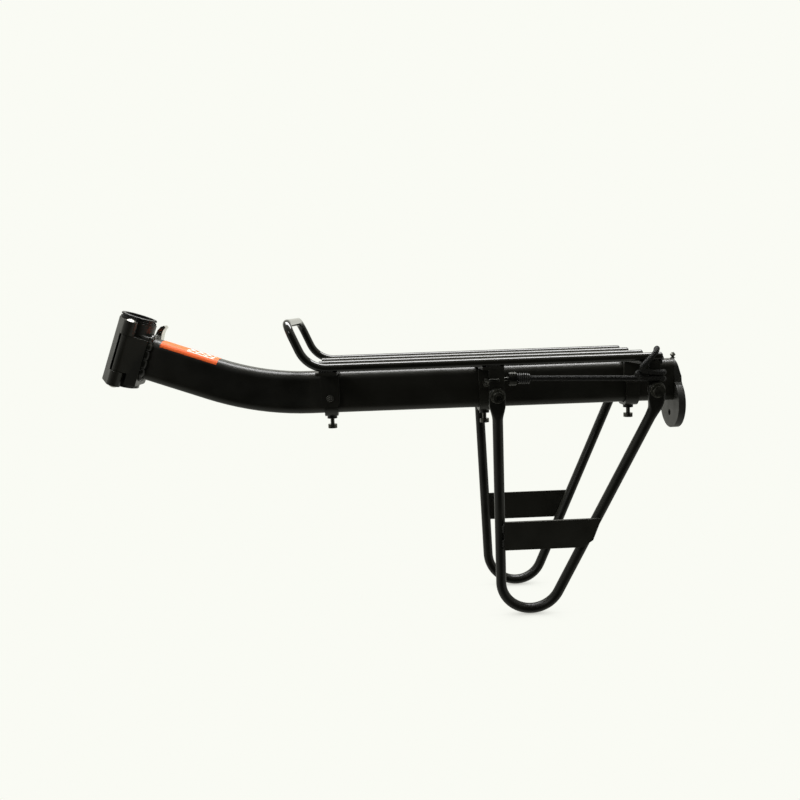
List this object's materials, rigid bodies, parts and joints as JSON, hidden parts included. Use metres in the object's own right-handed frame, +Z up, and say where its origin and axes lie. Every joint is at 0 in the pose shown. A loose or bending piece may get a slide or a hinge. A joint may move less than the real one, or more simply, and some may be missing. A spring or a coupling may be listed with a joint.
{
  "type": "rear rack",
  "caption": "Seatpost-mounted bicycle rear rack: bent beam with hinged quick-release clamp, sliding rod platform with upturned hoop, side frames and elastic cord.",
  "frame": {"origin": "centre of the seatpost bore, halfway up the clamp", "axes": "+X to the rear along the level part of the beam, +Z up, +Y to the left of the bicycle; the bore leans 20 degrees rearward at its top"},
  "size_m": [0.58, 0.1574, 0.3133],
  "materials": {
    "black_paint": "gloss",
    "black_fastener": "black oxide",
    "bright_steel": "polished",
    "black_plastic": "satin",
    "bracket_plastic": "satin",
    "cord_cover": "braided",
    "label_film": "satin film"
  },
  "bodies": {
    "carrier": {"main_beam": "black_paint", "clamp_rear_half": "black_paint", "clamp_welds": "black_paint", "hinge_pin": "bright_steel", "seatpost_shim": "black_plastic", "cam_seat": "black_fastener", "label_sticker": "label_film", "rear_bracket": "bracket_plastic", "bracket_screw": "black_fastener"},
    "clamp_gate": {"clamp_front_half": "black_paint"},
    "release_bolt": {"release_bolt": "bright_steel", "bolt_washer": "black_fastener"},
    "adjusting_nut": {"adjusting_nut": "black_fastener"},
    "release_lever": {"release_lever": "bright_steel", "lever_pin": "bright_steel"},
    "platform": {"outer_hoop_tube": "black_paint", "inner_rods": "black_paint", "rod_end_plugs": "black_plastic", "front_saddle": "black_paint", "middle_saddle": "black_paint", "rear_saddle": "black_paint", "platform_welds": "black_paint", "front_clamp_strap": "black_paint", "middle_clamp_strap": "black_paint", "rear_clamp_strap": "black_paint", "strap_rivets": "bright_steel", "clamp_screws": "black_fastener", "side_frame_right": "black_paint", "side_frame_left": "black_paint", "side_plate_right": "black_paint", "side_plate_left": "black_paint", "side_plate_welds": "black_paint", "front_eye_bolts": "black_fastener", "rear_eye_bolts": "black_fastener", "eye_washers": "black_fastener", "eye_nuts": "black_fastener", "bungee_cord": "cord_cover", "bungee_hooks": "black_fastener", "bungee_sleeves": "black_plastic"}
  },
  "joints": [
    {"name": "lever_swing", "type": "hinge", "parent": "release_bolt", "child": "release_lever", "pos_m": [0.01611, 0.025, -0.01012], "axis": [0, 1, 0], "range_deg": [0, 150]},
    {"name": "bolt_slide", "type": "slide", "parent": "carrier", "child": "release_bolt", "axis": [-0.9397, 0, 0.342], "range_m": [0, 0.0015]},
    {"name": "gate_swing", "type": "hinge", "parent": "carrier", "child": "clamp_gate", "pos_m": [0, -0.0235, 0], "axis": [0.342, 0, 0.9397], "range_deg": [0, 1.77]},
    {"name": "nut_spin", "type": "hinge", "parent": "release_bolt", "child": "adjusting_nut", "pos_m": [-0.01452, 0.025, 0.00103], "axis": [0.9397, 0, -0.342], "continuous": true},
    {"name": "platform_slide", "type": "slide", "parent": "carrier", "child": "platform", "axis": [1, 0, 0], "range_m": [-0.008, 0.025]}
  ],
  "couplings": [
    {"joint": "bolt_slide", "follows": "lever_swing", "m_per_rad": 0.00057296},
    {"joint": "gate_swing", "follows": "lever_swing", "ratio": 0.0118}
  ]
}
